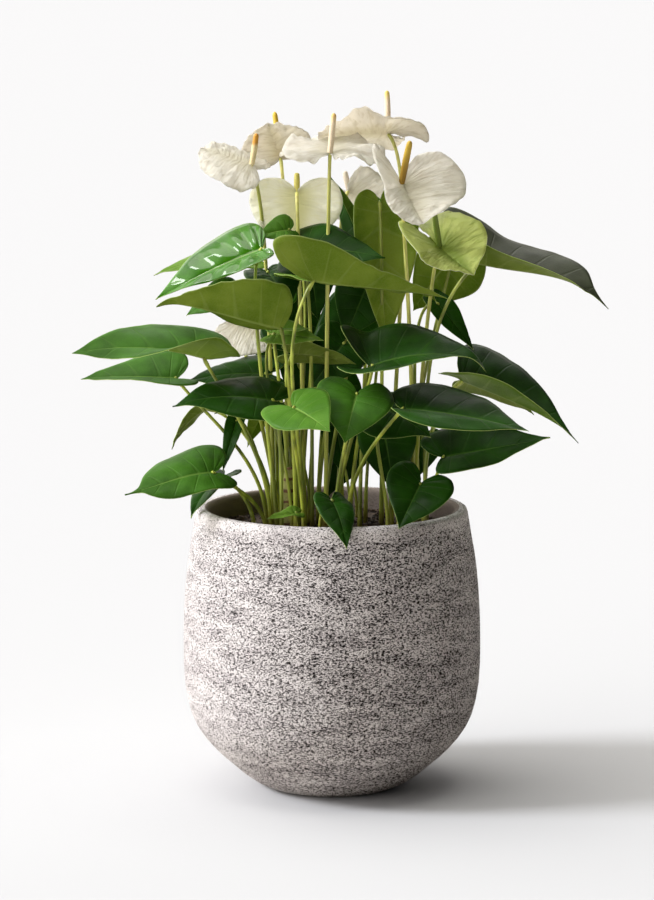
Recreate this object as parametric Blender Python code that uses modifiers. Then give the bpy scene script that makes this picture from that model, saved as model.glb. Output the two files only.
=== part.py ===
"""A flowering anthurium in a round stone-look pot: pot, growing medium, crowns, leaves and flowers."""
import math

import bpy
import bmesh
from mathutils import Vector

for old in list(bpy.data.objects):
    bpy.data.objects.remove(old, do_unlink=True)

MM = 0.001

# pot, millimetres
POT_HEIGHT = 284.0
POT_FOOT_RADIUS = 61.0
POT_BELLY_RADIUS = 150.0
POT_RIM_RADIUS = 137.0
POT_MOUTH_RADIUS = 124.0
POT_FLOOR = 16.0
POT_STEPS = 36
# outer side from the rim down to the foot: radius, height
POT_SIDE = [(POT_RIM_RADIUS, 281.0), (141.0, 252.0), (146.0, 220.0), (149.5, 180.0),
            (POT_BELLY_RADIUS, 145.0), (148.5, 108.0), (144.0, 82.0), (134.5, 58.0), (120.0, 40.0),
            (102.0, 24.0), (84.0, 9.0), (70.0, 2.0), (POT_FOOT_RADIUS, 0.0)]

# growing medium
GAP = 0.3
SOIL_TOP = 262.0
SOIL_BOTTOM = POT_FLOOR + GAP

# plant
LEAF_THICKNESS = 0.8
SPATHE_THICKNESS = 0.8
LEAF_STALK_RADIUS = 2.2
FLOWER_STEM_RADIUS = 2.4
SPADIX_RADIUS = 3.4
CROWN_RADIUS = 6.5
LEAF_ROWS = 9
LEAF_COLUMNS = 2
STALK_STATIONS = (0.0, 0.18, 0.37, 0.57, 0.78, 0.93, 1.0)

# half outline of a heart-shaped blade from its notch round the lobe to the tip:
# along (lengths), across (half widths), where that vein leaves the midrib (lengths)
LEAF_OUTLINE = [(-0.06, 0.045, 0.0), (-0.165, 0.23, 0.0), (-0.235, 0.53, 0.0), (-0.16, 0.83, 0.0),
                (0.06, 1.0, 0.07), (0.30, 0.92, 0.17), (0.55, 0.64, 0.40), (0.78, 0.30, 0.66),
                (0.92, 0.09, 0.86), (1.0, 0.0, 1.0)]
SPATHE_OUTLINE = [(-0.06, 0.04, 0.0), (-0.17, 0.20, 0.0), (-0.25, 0.50, 0.0), (-0.17, 0.85, 0.0),
                  (0.10, 1.04, 0.08), (0.38, 0.97, 0.20), (0.64, 0.72, 0.40), (0.84, 0.36, 0.66),
                  (0.95, 0.09, 0.86), (1.0, 0.0, 1.0)]

anthurium = bpy.data.collections.new("potted_anthurium")
bpy.context.scene.collection.children.link(anthurium)
helpers = bpy.data.collections.new("helpers")
bpy.context.scene.collection.children.link(helpers)


def material(name, colour, roughness):
    made = bpy.data.materials.new(name)
    made.use_nodes = True
    shader = made.node_tree.nodes["Principled BSDF"]
    shader.inputs["Base Color"].default_value = (*colour, 1.0)
    shader.inputs["Roughness"].default_value = roughness
    shader.inputs["Metallic"].default_value = 0.0
    return made


STONE = material("stone_composite", (0.42, 0.38, 0.37), 0.85)
SOIL = material("growing_medium", (0.05, 0.035, 0.025), 0.95)
CROWN = material("crown_stem", (0.42, 0.38, 0.16), 0.6)
LEAF = material("leaf_green", (0.035, 0.13, 0.02), 0.3)
STEM = material("flower_stem", (0.42, 0.50, 0.10), 0.45)
SPATHE = material("spathe_white", (0.86, 0.84, 0.74), 0.4)
SPADIX = material("spadix_yellow", (0.80, 0.55, 0.18), 0.6)


def put(name, mesh, skin, collection=anthurium):
    made = bpy.data.objects.new(name, mesh)
    collection.objects.link(made)
    if skin is not None:
        mesh.materials.clear()
        mesh.materials.append(skin)
    return made


def turned(name, profile, skin):
    """A profile of (radius, height), from the axis round to the axis again, swept about the vertical."""
    mesh = bpy.data.meshes.new(name)
    points = [(radius * MM, 0.0, height * MM) for radius, height in profile]
    edges = [(i, i + 1) for i in range(len(points) - 1)]
    mesh.from_pydata(points, edges, [])
    made = put(name, mesh, skin)
    screw = made.modifiers.new("turn", "SCREW")
    screw.axis = "Z"
    screw.angle = math.tau
    screw.steps = POT_STEPS
    screw.render_steps = POT_STEPS
    screw.use_merge_vertices = True
    screw.merge_threshold = 0.00005
    screw.use_normal_calculate = True
    return made


def mix(points, weights):
    total = Vector((0.0, 0.0, 0.0))
    for point, weight in zip(points, weights):
        total += point * weight
    return total


def bezier(points, u):
    v = 1.0 - u
    return mix(points, (v * v * v, 3 * v * v * u, 3 * v * u * u, u * u * u))


def bezier_slope(points, u):
    v = 1.0 - u
    steps = [points[i + 1] - points[i] for i in range(3)]
    return mix(steps, (3 * v * v, 6 * v * u, 3 * u * u))


def along_outline(outline, t):
    """Catmull-Rom through the outline's points."""
    last = len(outline) - 1
    place = min(max(t, 0.0), 1.0) * last
    i = min(int(place), last - 1)
    u = place - i
    rows = (outline[max(i - 1, 0)], outline[i], outline[i + 1], outline[min(i + 2, last)])
    return [0.5 * (2 * b + (c - a) * u + (2 * a - 5 * b + 4 * c - d) * u ** 2
                   + (3 * b - a - 3 * c + d) * u ** 3)
            for a, b, c, d in zip(*rows)]


class Blade:
    """A heart-shaped blade. Two-value settings are for its two sides: side 0 lies along face x chord."""

    def __init__(self, base, tip, face, width, arch=(4, 4), fold=(12, 12), fold_tip=None, curl=(20, 20),
                 lobe=(0, 0), back=(1.0, 1.0), wave=(2.0, 2.5, 0.0), outline=None):
        self.base = Vector(base)
        self.tip = Vector(tip)
        chord = self.tip - self.base
        self.length = chord.length
        self.forward = chord.normalized()
        face = Vector(face)
        self.normal = (face - self.forward * face.dot(self.forward)).normalized()
        self.side = self.normal.cross(self.forward)
        self.width = width
        self.fold = fold
        self.fold_tip = fold_tip or tuple(0.4 * angle for angle in fold)
        self.curl = curl
        self.lobe = lobe
        self.back = back
        self.wave = wave
        self.outline = outline or LEAF_OUTLINE
        self.midrib = [self.base,
                       self.base + self.forward * (self.length / 3) + self.normal * arch[0],
                       self.base + self.forward * (self.length * 2 / 3) + self.normal * arch[1],
                       self.tip]

    def point(self, t, across):
        """t runs along the margin from notch to tip, across from -1 to 1 over the midrib."""
        k = 0 if across >= 0 else 1
        sign = 1.0 if across >= 0 else -1.0
        share = abs(across)
        out_x, out_y, root = along_outline(self.outline, t)
        if out_x < 0:
            out_x *= self.back[k]
        root = max(root, 0.0)
        x = root + (out_x - root) * share
        reach = out_y * share
        u = min(max(x, 0.0), 1.0)
        centre = bezier(self.midrib, u)
        forward = bezier_slope(self.midrib, u).normalized()
        if x < 0:
            centre = centre + forward * (x * self.length)
        side = self.normal.cross(forward).normalized()
        normal = forward.cross(side)
        fold = math.radians(self.fold[k] + (self.fold_tip[k] - self.fold[k]) * u)
        curl = math.radians(self.curl[k])
        width = self.width[k]
        sideways = width / curl * (math.sin(fold) - math.sin(fold - curl * reach))
        rise = width / curl * (math.cos(fold - curl * reach) - math.cos(fold))
        if x < 0:
            rise += self.lobe[k] * (x / 0.24) ** 2
        size, count, start = self.wave
        start += 0.0 if k == 0 else 1.9
        rise += size * out_y * share * share * math.sin(math.tau * count * t + start)
        return centre + side * (sign * sideways) + normal * rise


def blade_object(name, blade, thickness, skin, rows=LEAF_ROWS, columns=LEAF_COLUMNS):
    """A flat grid bent to the blade's surface and thickened."""
    bm = bmesh.new()
    bmesh.ops.create_grid(bm, x_segments=rows, y_segments=2 * columns, size=1.0)
    for vertex in bm.verts:
        vertex.co = blade.point((vertex.co.x + 1.0) / 2.0, vertex.co.y) * MM
    bmesh.ops.remove_doubles(bm, verts=bm.verts, dist=0.0002)
    bmesh.ops.recalc_face_normals(bm, faces=bm.faces)
    mesh = bpy.data.meshes.new(name)
    bm.to_mesh(mesh)
    bm.free()
    made = put(name, mesh, skin)
    shell = made.modifiers.new("thickness", "SOLIDIFY")
    shell.thickness = thickness * MM
    shell.offset = 0.0
    return made


def rod(name, points, radius, taper, skin, collection=anthurium):
    """A round stem through the points, as a mesh; taper gives the share of the radius at each point."""
    curve = bpy.data.curves.new(name, "CURVE")
    curve.dimensions = "3D"
    curve.bevel_depth = radius * MM
    curve.bevel_resolution = 1
    curve.use_fill_caps = True
    spline = curve.splines.new("POLY")
    spline.points.add(len(points) - 1)
    for place, point, share in zip(spline.points, points, taper):
        place.co = (*(point * MM), 1.0)
        place.radius = share
    lead = bpy.data.objects.new(name + "_line", curve)
    bpy.context.scene.collection.objects.link(lead)
    graph = bpy.context.evaluated_depsgraph_get()
    mesh = bpy.data.meshes.new_from_object(lead.evaluated_get(graph))
    mesh.name = name
    bpy.data.objects.remove(lead, do_unlink=True)
    bm = bmesh.new()
    bm.from_mesh(mesh)
    bmesh.ops.remove_doubles(bm, verts=bm.verts, dist=0.00001)
    bmesh.ops.recalc_face_normals(bm, faces=bm.faces)
    bm.to_mesh(mesh)
    bm.free()
    return put(name, mesh, skin, collection)


def stalk_points(blade, foot, rise, lean, reach, knee, end):
    """From the growing medium to the blade; end is how far past the blade's base the stalk stops."""
    start = Vector((foot[0], foot[1], SOIL_TOP + GAP))
    arrival = (blade.normal * knee[0] + blade.forward * knee[1]).normalized()
    span = (blade.base - start).length
    points = [start,
              start + Vector((lean[0], lean[1], span * rise)),
              blade.base - arrival * (span * reach),
              blade.base]
    line = [bezier(points, u) for u in STALK_STATIONS]
    line.insert(1, start + Vector((0.0, 0.0, 4.0)))
    line[-1] = line[-1] + (line[-1] - line[-2]).normalized() * end
    return line


def leaf(name, foot, rise=0.4, lean=(0, 0), reach=0.3, knee=(0.8, 0.45), thick=1.0, **shape):
    """One leaf: blade and stalk grown together."""
    blade = Blade(**shape)
    made = blade_object(name, blade, LEAF_THICKNESS, LEAF)
    line = stalk_points(blade, foot, rise, lean, reach, knee, 1.2)
    taper = [1.0 - 0.25 * i / (len(line) - 1) for i in range(len(line))]
    stalk = rod(name + "_stalk", line, LEAF_STALK_RADIUS * thick, taper, LEAF, helpers)
    stalk.hide_render = True
    stalk.display_type = "WIRE"
    join = made.modifiers.new("stalk", "BOOLEAN")
    join.operation = "UNION"
    join.solver = "EXACT"
    join.object = stalk
    return made


def flower(number, foot, spadix, seat=0.8, rise=0.4, lean=(0, 0), reach=0.3, knee=(0.8, 0.45), **shape):
    """A flower: its stem, the white spathe at the stem's head and the spadix standing on it."""
    blade = Blade(outline=SPATHE_OUTLINE, **shape)
    blade_object("spathe_%d" % number, blade, SPATHE_THICKNESS, SPATHE)
    line = stalk_points(blade, foot, rise, lean, reach, knee, -1.6)
    taper = [1.0 - 0.2 * i / (len(line) - 1) for i in range(len(line))]
    rod("flower_stem_%d" % number, line, FLOWER_STEM_RADIUS, taper, STEM)
    top = Vector(spadix)
    direction = (top - blade.base).normalized()
    lean_out = math.sqrt(1.0 - min(direction.dot(blade.normal), 1.0) ** 2)
    foot_of_spadix = blade.base + blade.normal * (seat + SPADIX_RADIUS * 0.75 * lean_out)
    spadix_line = [foot_of_spadix.lerp(top, share) for share in (0.0, 0.3, 0.65, 0.9, 0.97, 1.0)]
    rod("spadix_%d" % number, spadix_line, SPADIX_RADIUS, (0.75, 1.0, 0.9, 0.72, 0.55, 0.25), SPADIX)


# pot: one turned wall with a closed floor
inside = [(0.0, POT_FLOOR), (60.0, POT_FLOOR), (86.0, 30.0), (109.0, 50.0), (126.0, 74.0), (135.0, 104.0),
          (137.0, 141.0), (137.0, 172.0), (133.0, 222.0), (128.0, 255.0), (POT_MOUTH_RADIUS, 280.0),
          (POT_MOUTH_RADIUS + 2.0, POT_HEIGHT), (POT_RIM_RADIUS - 2.0, POT_HEIGHT)]
turned("pot", inside + POT_SIDE + [(0.0, 0.0)], STONE)

# growing medium: fills the pot to below the rim, with a gap of its own to the wall
medium = [(0.0, SOIL_BOTTOM), (59.8, SOIL_BOTTOM), (85.6, 30.5), (108.5, 50.4), (125.5, 74.3),
          (134.5, 104.1), (136.5, 141.0), (136.5, 172.0), (132.5, 222.0), (127.6, 254.0),
          (126.2, SOIL_TOP), (0.0, SOIL_TOP)]
turned("growing_medium", medium, SOIL)

# crowns: the short bare stems that the stalks spring from
for name, x, y, height in (("crown_left", -44.0, -8.0, 62.0), ("crown_right", 72.0, 4.0, 54.0)):
    feet = [Vector((x, y, SOIL_TOP + GAP)),
            Vector((x, y, SOIL_TOP + height * 0.35)),
            Vector((x + 2.0, y + 1.0, SOIL_TOP + height * 0.7)),
            Vector((x + 2.0, y + 2.0, SOIL_TOP + height))]
    rod(name, feet, CROWN_RADIUS, (1.1, 1.0, 0.9, 0.6), CROWN)

# leaves, from the top of the plant's left side round to the right and down
leaf("leaf_01", base=(-86, -44, 546), tip=(-172, -70, 499), face=(-0.3, -0.32, 0.9), width=(30, 40),
     arch=(6, 8), fold=(40, 18), curl=(15, 40), foot=(-54, -20), lean=(-10, 4), reach=0.12,
     knee=(1.0, -0.2))
leaf("leaf_02", base=(-93, 60, 525), tip=(-181, 70, 510), face=(-0.1, 0.45, 0.9), width=(34, 34),
     arch=(12, 8), fold=(30, 10), foot=(-42, 32))
leaf("leaf_03", base=(-62, -70, 472), tip=(-170, -95, 499), face=(0.15, 0.3, 0.93), width=(42, 22),
     arch=(8, 12), fold=(42, 15), curl=(8, 30), foot=(-36, -36), reach=0.1)
leaf("leaf_04", base=(-66, -6, 514), tip=(-46, -44, 479), face=(0.3, -0.5, 0.8), width=(22, 14),
     arch=(8, 6), fold=(10, 10), curl=(30, 30), foot=(-42, 4), reach=0.08)
leaf("leaf_05", base=(-18, -100, 521), tip=(114, -60, 499), face=(0.05, 0.3, 0.95), width=(44, 50),
     arch=(4, 8), fold=(18, 52), curl=(20, 10), back=(1, 1.5), foot=(-27, -26))
leaf("leaf_06", base=(-40, -26, 550), tip=(46, -63, 538), face=(0.1, -0.4, 0.83), width=(22, 36),
     arch=(10, 8), fold=(10, 5), foot=(-20, -6), reach=0.08, knee=(0.9, -0.5))
leaf("leaf_07", base=(16, 50, 540), tip=(0, 50, 605), face=(0.35, -0.93, 0.1), width=(30, 30),
     arch=(4, 4), fold=(35, 35), curl=(10, 10), foot=(-14, 14), reach=0.15, knee=(-0.2, 1.0))
leaf("leaf_08", base=(46, 20, 566), tip=(58, -4, 450), face=(-0.1, 0.95, 0.2), width=(30, 36),
     arch=(10, 6), fold=(10, 10), curl=(40, 40), foot=(50, 14), reach=0.08, knee=(0.8, -0.6))
leaf("leaf_09", base=(117, 60, 525), tip=(82, 50, 476), face=(0.1, 0.9, 0.3), width=(34, 34),
     arch=(8, 6), fold=(10, 10), curl=(40, 30), foot=(78, 40), lean=(-4, 14), reach=0.05)
leaf("leaf_10", base=(148, 10, 526), tip=(275, -10, 486), face=(0.1, 0.2, 0.97), width=(50, 44),
     arch=(10, 17), fold=(36, 42), curl=(30, 20), lobe=(22, 0), foot=(94, 8))
leaf("leaf_11", base=(120, 0, 414), tip=(245, -40, 356), face=(0.3, 0.1, 0.95), width=(60, 34),
     arch=(4, 8), fold=(45, 48), back=(0.4, 1.0), foot=(92, -14))
leaf("leaf_12", base=(124, 56, 402), tip=(205, 40, 369), face=(0.2, 0.5, 0.8), width=(32, 32),
     arch=(8, 8), fold=(10, 30), back=(0.5, 0.5), foot=(94, 44))
leaf("leaf_13", base=(39, -90, 436), tip=(150, -110, 443), face=(0.0, -0.3, 0.95), width=(50, 34),
     arch=(16, 14), fold=(22, 10), curl=(20, 30), lobe=(8, 0), back=(1.2, 0.9), foot=(4, -34),
     reach=0.12, knee=(1.0, 0.1))
leaf("leaf_14", base=(68, -110, 397), tip=(189, -130, 378), face=(0.05, -0.33, 0.93), width=(48, 40),
     arch=(4, 4), fold=(15, 10), back=(1.1, 0.3), foot=(14, -44))
leaf("leaf_15", base=(110, -50, 341), tip=(214, -70, 363), face=(-0.2, -0.5, 0.83), width=(44, 26),
     arch=(4, 4), fold=(15, 10), back=(1.0, 0.3), foot=(94, -28))
leaf("leaf_16", base=(24, -96, 410), tip=(11, -126, 373), face=(0, -0.75, 0.66), width=(38, 38),
     arch=(6, 4), fold=(20, 20), foot=(2, -50), reach=0.15)
leaf("leaf_17", base=(52, -40, 385), tip=(97, -60, 365), face=(0.1, -0.5, 0.85), width=(30, 40),
     arch=(4, 4), fold=(5, 5), foot=(56, -28))
leaf("leaf_18", base=(50, -2, 358), tip=(62, -10, 304), face=(0.1, -0.95, 0.2), width=(26, 26),
     arch=(4, 4), fold=(10, 10), foot=(60, 8), knee=(0.3, -0.9))
leaf("leaf_19", base=(86, -100, 322), tip=(63, -138, 286), face=(0.1, -0.8, 0.55), width=(34, 32),
     arch=(4, 4), fold=(15, 15), back=(1.0, 1.4), foot=(74, -40))
leaf("leaf_20", base=(0, -115, 308), tip=(14, -150, 268), face=(0.3, -0.75, 0.5), width=(20, 20),
     arch=(6, 6), fold=(25, 25), curl=(10, 10), foot=(-12, -60))
leaf("leaf_21", base=(-127, -30, 437), tip=(-256, -50, 446), face=(0.0, -0.3, 0.95), width=(40, 40),
     arch=(10, 10), fold=(50, 18), fold_tip=(-20, 18), foot=(-61, -14))
leaf("leaf_22", base=(-156, 10, 412), tip=(-252, 10, 409), face=(0.0, -0.29, 0.95), width=(34, 38),
     arch=(4, 6), fold=(13, 13), back=(1, 0.5), foot=(-66, 12))
leaf("leaf_23", base=(-75, -62, 398), tip=(-155, -100, 398), face=(0.0, -0.45, 0.9), width=(34, 36),
     arch=(10, 10), fold=(5, 10), curl=(25, 25), foot=(-50, -44), reach=0.2)
leaf("leaf_24", base=(-84, 14, 412), tip=(-146, 20, 406), face=(0.0, -0.4, 0.9), width=(30, 32),
     arch=(6, 6), fold=(5, 10), curl=(25, 25), foot=(-53, 24), reach=0.2)
leaf("leaf_25", base=(-37, -124, 400), tip=(-2, -169, 383), face=(0.05, -0.7, 0.7), width=(38, 30),
     arch=(4, 4), fold=(10, 10), curl=(10, 10), back=(0.6, 2.0), foot=(-28, -50))
leaf("leaf_26", base=(-117, -60, 327), tip=(-201, -80, 311), face=(0.0, -0.63, 0.78), width=(30, 40),
     arch=(12, 4), fold=(10, 10), curl=(20, 30), foot=(-66, -30))
leaf("leaf_27", base=(-110, 0, 312), tip=(-138, -40, 278), face=(-0.5, -0.5, 0.7), width=(26, 26),
     arch=(8, 8), fold=(15, 15), curl=(10, 10), foot=(-78, -8))
leaf("leaf_28", base=(-120, 50, 373), tip=(-163, 40, 336), face=(-0.6, 0.5, 0.6), width=(30, 30),
     arch=(8, 8), fold=(15, 15), curl=(10, 10), foot=(-60, 34))
leaf("leaf_29", base=(0, 70, 470), tip=(5, 130, 440), face=(0.0, 0.5, 0.85), width=(40, 40),
     arch=(10, 8), fold=(5, 5), foot=(-14, 44))

# flowers
flower(1, base=(-80, 12, 625), tip=(-130, 24, 638), face=(-0.1, 0.45, 0.87), width=(34, 36), arch=(0, 0),
       back=(0.6, 0.6), foot=(-60, 17), spadix=(-75, 8, 657), reach=0.12)
flower(2, base=(-52, 60, 630), tip=(-66, 40, 663), face=(0.0, 0.9, 0.4), width=(30, 30), arch=(0, 0),
       back=(0.5, 0.5), foot=(-46, 21), spadix=(-58, 70, 676), reach=0.12)
flower(3, base=(-2, -10, 638), tip=(35, 20, 622), face=(-0.1, 0.5, 0.86), width=(44, 44), arch=(0, 0),
       back=(1.7, 1.7), foot=(-6, -9), spadix=(2, -14, 678), reach=0.06)
flower(4, base=(56, 40, 655), tip=(-10, 20, 652), face=(0.1, 0.7, 0.7), width=(34, 24), arch=(0, 0),
       back=(0.6, 1.6), foot=(60, 24), spadix=(55, 48, 698), reach=0.12)
flower(5, base=(66, -60, 611), tip=(88, -100, 577), face=(-0.15, -0.85, 0.5), width=(56, 36),
       arch=(0, 0), fold=(0, 50), back=(1.2, 2.2), foot=(82, 8), spadix=(74, -88, 654), seat=1.7,
       rise=0.6, reach=0.12)
flower(6, base=(-35, 16, 598), tip=(-35, 24, 540), face=(0.0, 0.95, 0.2), width=(44, 40), arch=(0, 0),
       foot=(-28, 14), spadix=(-35, 24, 617), reach=0.1, knee=(1.0, -0.15))
flower(7, base=(103, -30, 547), tip=(138, -60, 522), face=(-0.1, -0.8, 0.6), width=(48, 24), arch=(0, 0),
       fold=(12, 50), back=(1.0, 1.8), foot=(84, 20), spadix=(103, -54, 582), seat=1.7,
       reach=0.12)
flower(8, base=(-104, 58, 455), tip=(-76, 36, 448), face=(-0.1, 0.5, 0.8), width=(28, 28), arch=(0, 0),
       foot=(-51, 13), spadix=(-105, 60, 473), lean=(-14, 22), reach=0.05)
flower(9, base=(17, 70, 596), tip=(42, 80, 582), face=(-0.1, 0.6, 0.7), width=(34, 34), arch=(0, 0),
       foot=(10, 42), spadix=(13, 74, 616), reach=0.12)
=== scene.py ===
import functools
import math
import random

import bpy
import bmesh
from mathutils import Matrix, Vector, noise


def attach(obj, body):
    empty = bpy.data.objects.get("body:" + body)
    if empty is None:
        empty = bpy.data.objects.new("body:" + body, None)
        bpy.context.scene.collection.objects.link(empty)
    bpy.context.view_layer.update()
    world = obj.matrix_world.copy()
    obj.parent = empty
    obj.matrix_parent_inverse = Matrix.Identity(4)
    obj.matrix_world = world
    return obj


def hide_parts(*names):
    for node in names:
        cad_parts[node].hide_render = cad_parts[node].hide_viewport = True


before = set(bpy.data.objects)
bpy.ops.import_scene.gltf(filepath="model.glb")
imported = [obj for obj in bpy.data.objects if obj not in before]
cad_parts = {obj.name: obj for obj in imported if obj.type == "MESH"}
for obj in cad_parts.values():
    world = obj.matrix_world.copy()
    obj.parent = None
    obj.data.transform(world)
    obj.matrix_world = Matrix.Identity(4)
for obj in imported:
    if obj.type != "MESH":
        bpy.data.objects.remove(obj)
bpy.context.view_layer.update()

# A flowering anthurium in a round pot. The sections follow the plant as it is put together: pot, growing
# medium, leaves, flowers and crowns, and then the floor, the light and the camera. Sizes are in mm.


# ---------------------------------------------------------------- pot
# Cast stone composite, turned in one piece: pale pinkish grey, matt, pricked all over with dark pits
# that run in short level streaks. The pits press into the mesh as well as into its skin.

MM = 0.001
BODY = "root"
POT_SIDE = [(61.0, 0.0), (66.0, 0.6), (71.5, 2.6), (80.0, 6.6), (92.0, 15.0), (103.0, 24.8), (113.0, 33.5),
            (121.0, 41.5), (130.0, 52.0), (137.5, 63.5), (142.5, 75.0), (146.0, 88.0), (148.7, 105.0),
            (149.8, 124.0), (150.0, 145.0), (149.8, 165.0), (149.2, 182.0), (147.8, 202.0), (146.0, 220.0),
            (143.8, 237.0), (141.0, 253.0), (138.5, 268.0), (136.8, 278.5), (135.6, 282.0), (133.0, 283.7),
            (130.0, 284.0), (127.0, 283.8), (125.0, 282.5), (124.0, 279.5), (125.2, 270.0), (127.0, 258.0)]
POT_INSIDE = [(128.0, 255.0), (133.0, 222.0), (137.0, 172.0), (137.0, 141.0), (135.0, 104.0), (126.0, 74.0),
              (109.0, 50.0), (86.0, 30.0), (60.0, 16.0), (0.0, 16.0)]
POT_TURNS = 420
POT_STEP = 2.0
PIT_DEPTH = 0.22
PIT_SPREAD = 0.26   # noise steps per mm round the pot, and from level to level
PIT_LEVELS = 0.45
LIP_HEIGHT = 277.0
LIP_PITS = 0.35     # the lip is smoother than the wall
SWELL = 0.25        # the wall is a little uneven, in swells 50 mm long
SWELL_RATE = 0.02
INSET = 0.1         # the skin lies just inside the solid
SMOOTH = {"interpolation_type": "SMOOTHSTEP"}
COLOUR = {"data_type": "RGBA", "out": 2}


def linear(code):
    """An sRGB hex colour as linear RGBA."""
    values = [int(code[i:i + 2], 16) / 255.0 for i in (1, 3, 5)]
    return (*[v / 12.92 if v <= 0.04045 else ((v + 0.055) / 1.055) ** 2.4 for v in values], 1.0)


def add(tree, kind, inputs=(), out=0, **settings):
    """Adds one node and gives its output. Inputs come in socket order or by socket, and each is a
    number, a hex colour or another node's output."""
    made = tree.nodes.new("ShaderNode" + kind)
    for key, value in settings.items():
        setattr(made, key, value)
    for key, value in inputs.items() if isinstance(inputs, dict) else enumerate(inputs):
        if isinstance(value, bpy.types.NodeSocket):
            tree.links.new(value, made.inputs[key])
        else:
            made.inputs[key].default_value = linear(value) if isinstance(value, str) else value
    return made.outputs[out] if made.outputs else made


def skin(name):
    """A new empty material, with the function that adds nodes to it."""
    made = bpy.data.materials.new(name)
    made.use_nodes = True
    made.node_tree.nodes.clear()
    return made, functools.partial(add, made.node_tree)


def every(size_mm):
    """The scale of a pattern, in whole features a metre, from the real size of one feature."""
    return float(round(1000.0 / size_mm))


def put(name, bm, skins, *solids, slot):
    """Turns a bmesh into a smooth piece that stands for the named solids."""
    bmesh.ops.recalc_face_normals(bm, faces=bm.faces)
    mesh = bpy.data.meshes.new(name)
    bm.to_mesh(mesh)
    bm.free()
    for made in skins:
        mesh.materials.append(made)
    for polygon in mesh.polygons:
        polygon.use_smooth = True
    piece = bpy.data.objects.new(name, mesh)
    bpy.context.scene.collection.objects.link(piece)
    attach(piece, BODY)
    if solids:
        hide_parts(*solids)
    return piece


def pit(place):
    """How far a place in mm lies in a pit, from 0 to 1: level streaks about 4 mm apart, in crowds."""
    streak = noise.fractal(Vector((place.x * PIT_SPREAD, place.y * PIT_SPREAD, place.z * PIT_LEVELS)),
                           0.8, 2.1, 2)
    crowd = 0.5 + 0.5 * noise.noise(place * 0.035)
    return max(0.0, min(1.0, (streak - 0.30 + 0.22 * crowd) * 3.2))


profile = []
for (r0, z0), (r1, z1) in zip(POT_SIDE, POT_SIDE[1:]):
    steps = max(1, round(math.hypot(r1 - r0, z1 - z0) / POT_STEP))
    for k in range(steps):
        share = k / steps
        profile.append((r0 + (r1 - r0) * share, z0 + (z1 - z0) * share, True))
profile += [(*POT_SIDE[-1], True)] + [(r, z, False) for r, z in POT_INSIDE]
bm = bmesh.new()
underneath = bm.verts.new((0.0, 0.0, 0.0))
rings = []
for radius, height, rough in profile:
    if radius == 0.0:
        rings.append([bm.verts.new((0.0, 0.0, height * MM))])
        continue
    ring = []
    for k in range(POT_TURNS):
        angle = math.tau * k / POT_TURNS
        place = Vector((radius * math.cos(angle), radius * math.sin(angle), height))
        if rough and height > 1.0:
            out = Vector((math.cos(angle), math.sin(angle), 0.0))
            depth = PIT_DEPTH * pit(place) * (LIP_PITS if height > LIP_HEIGHT else 1.0)
            swell = SWELL * noise.noise(Vector((place.x, place.y, min(height, 270.0))) * SWELL_RATE)
            place = place + out * (swell - depth - INSET)
        ring.append(bm.verts.new(place * MM))
    rings.append(ring)
for k in range(POT_TURNS):
    bm.faces.new((underneath, rings[0][(k + 1) % POT_TURNS], rings[0][k]))
for low, high in zip(rings, rings[1:]):
    for k in range(POT_TURNS):
        n = (k + 1) % POT_TURNS
        bm.faces.new((low[k], low[n], high[0]) if len(high) == 1 else (low[k], low[n], high[n], high[k]))

# Matt stone. A pit is a spot where a noise passes a threshold, which dips in level bands 45 mm long and
# 10 mm high and is raised at the lip, where the pits are fewer. The threshold also rises towards the left
# and falls towards the right, so fewer pits make the lit left side paler and more pits make the shaded
# right
# side darker: painted light and painted shade. Pits are nearly black and the stone between them is chalky.
# Inside the mouth the stone is darkened and its pits thinned, as painted shade.
stone, node = skin("cast_stone_composite")
place = node("TexCoord", out="Object")
level = node("Mapping", {"Vector": place, "Scale": (1.0, 1.0, 2.0)})
flat = node("Mapping", {"Vector": place, "Scale": (1.0, 1.0, 4.5)})
across = node("SeparateXYZ", [place], "X")
height = node("SeparateXYZ", [place], "Z")
streaks = node("TexNoise", {"Vector": level, "Scale": every(2.5), "Detail": 5.0, "Roughness": 0.66})
specks = node("TexNoise", {"Vector": level, "Scale": every(1.22), "Detail": 2.0})
bands = node("TexNoise", {"Vector": flat, "Scale": every(45), "Detail": 4.0, "Roughness": 0.6})
fine = node("TexNoise", {"Vector": level, "Scale": every(0.769), "Detail": 2.0})
grit = node("TexNoise", {"Vector": level, "Scale": every(1.111), "Detail": 2.0})
# painted light and shade: the pit threshold rises on the lit left and falls on the shaded right
left = node("MapRange", [across, -150.0 * MM, 120.0 * MM, 0.022, -0.022], **SMOOTH)
lip = node("MapRange", [height, 262.0 * MM, 283.0 * MM], **SMOOTH)
cut = node("Math", [bands, -0.12, 0.585], operation="MULTIPLY_ADD")
cut = node("Math", [cut, left], operation="ADD")
cut = node("Math", [lip, 0.06, cut], operation="MULTIPLY_ADD")
deep = node("MapRange", [node("Math", [streaks, cut], operation="SUBTRACT"), 0.0, 0.035], **SMOOTH)
cut = node("Math", [bands, -0.08, 0.610], operation="MULTIPLY_ADD")
small = node("Math", [specks, cut], operation="SUBTRACT")
small = node("MapRange", [small, 0.0, 0.06, 0.0, 0.75], **SMOOTH)
out = node("Mapping", {"Vector": place, "Scale": (1.0, 1.0, 0.0)})
out = node("VectorMath", [out], "Value", operation="LENGTH")
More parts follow.
